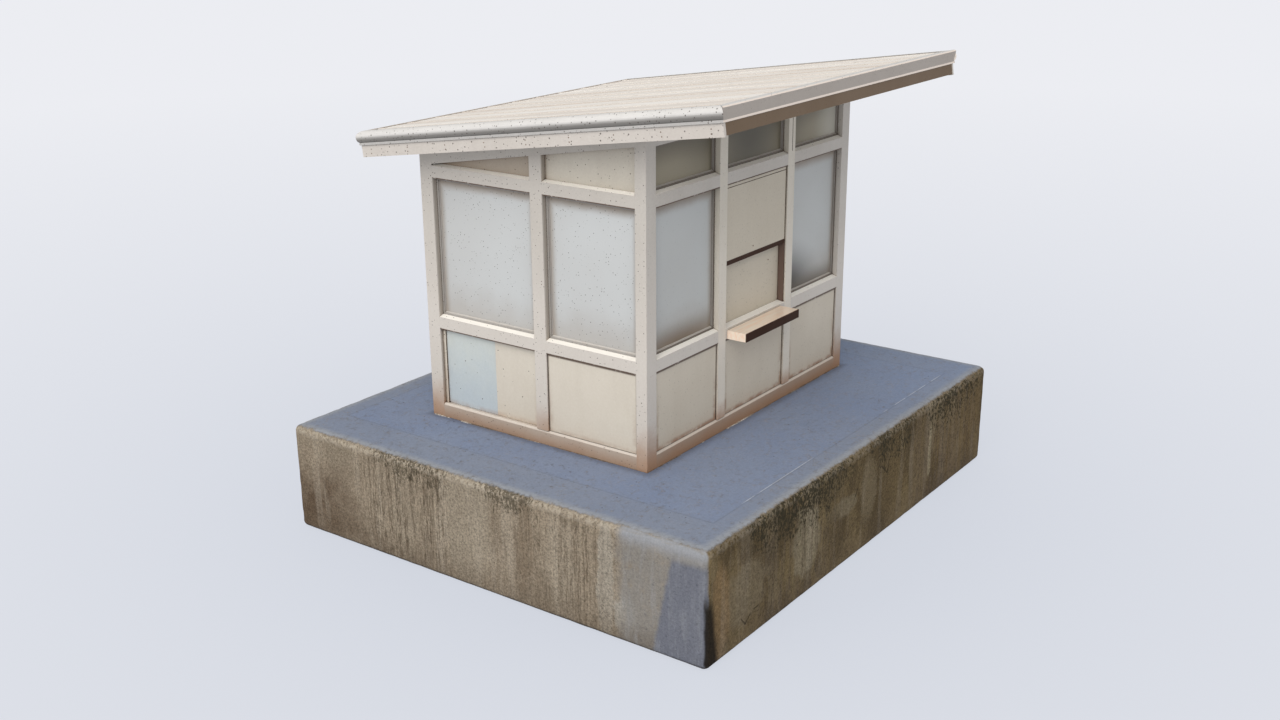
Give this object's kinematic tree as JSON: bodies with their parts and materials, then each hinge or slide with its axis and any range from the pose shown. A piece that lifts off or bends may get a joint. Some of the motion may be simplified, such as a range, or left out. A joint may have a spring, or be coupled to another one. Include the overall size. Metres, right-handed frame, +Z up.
{
  "type": "ticket kiosk on a concrete plinth",
  "caption": "Timber-framed ticket kiosk with a lean-to roof, frosted windows, a ticket hatch with a counter shelf and a rear staff door, on a raised concrete plinth.",
  "frame": {"origin": "middle of the plinth's underside, on the ground", "axes": "+Z up; the front with the ticket hatch and counter faces -Y; +X is to the right for someone facing the hatch"},
  "size_m": [4.6, 4.052, 3.7511],
  "materials": {
    "concrete": "weathered board-marked concrete with a worn blue-grey coating on top",
    "cream_timber": "cream paint, satin, dusty, stained brown near the ground",
    "panel_paint": "cream painted sheet, satin, dusty",
    "blue_paint": "pale blue painted sheet, satin",
    "brown_paint": "dark brown paint, worn",
    "brown_timber": "weathered brown paint, matt",
    "counter_wood": "scrubbed pale timber",
    "bare_timber": "sawn, unpainted",
    "roof_sheet": "cream painted sheet, matt, lined with dirt down the slope",
    "frosted_glass": "frosted, pale blue-grey",
    "smoked_glass": "obscured, olive-grey",
    "handle_steel": "brushed"
  },
  "bodies": {
    "root": {"plinth": "concrete", "floor_boards": "bare_timber", "sole_plates": "cream_timber", "corner_posts": "cream_timber", "front_posts": "cream_timber", "back_posts": "cream_timber", "side_posts": "cream_timber", "front_mid_rails": "cream_timber", "back_mid_rails": "cream_timber", "left_mid_rails": "cream_timber", "right_mid_rails": "cream_timber", "front_upper_rails": "cream_timber", "back_upper_rails": "cream_timber", "left_upper_rails": "cream_timber", "right_upper_rails": "cream_timber", "cross_top_plates": "cream_timber", "side_top_plates": "cream_timber", "front_lower_panels": "panel_paint", "back_lower_panels": "panel_paint", "left_lower_panels": "panel_paint", "left_blue_panel": "blue_paint", "right_lower_panels": "panel_paint", "front_windows": "frosted_glass", "back_windows": "frosted_glass", "left_windows": "frosted_glass", "right_windows": "frosted_glass", "front_transom_glass": "smoked_glass", "glazing_frames": "cream_timber", "side_transom_panels": "panel_paint", "hatch_upper_panel": "panel_paint", "hatch_shutter": "panel_paint", "hatch_frame": "brown_paint", "counter_shelf": "counter_wood", "counter_edge": "brown_paint", "door_leaf": "cream_timber", "door_frame": "cream_timber", "door_handle": "handle_steel", "roof_rafters": "bare_timber", "roof_soffit": "cream_timber", "roof_deck": "bare_timber", "roof_covering": "roof_sheet", "verge_boards": "cream_timber", "eaves_boards": "brown_timber", "verge_crowns": "cream_timber", "eaves_crowns": "cream_timber"}
  },
  "joints": []
}
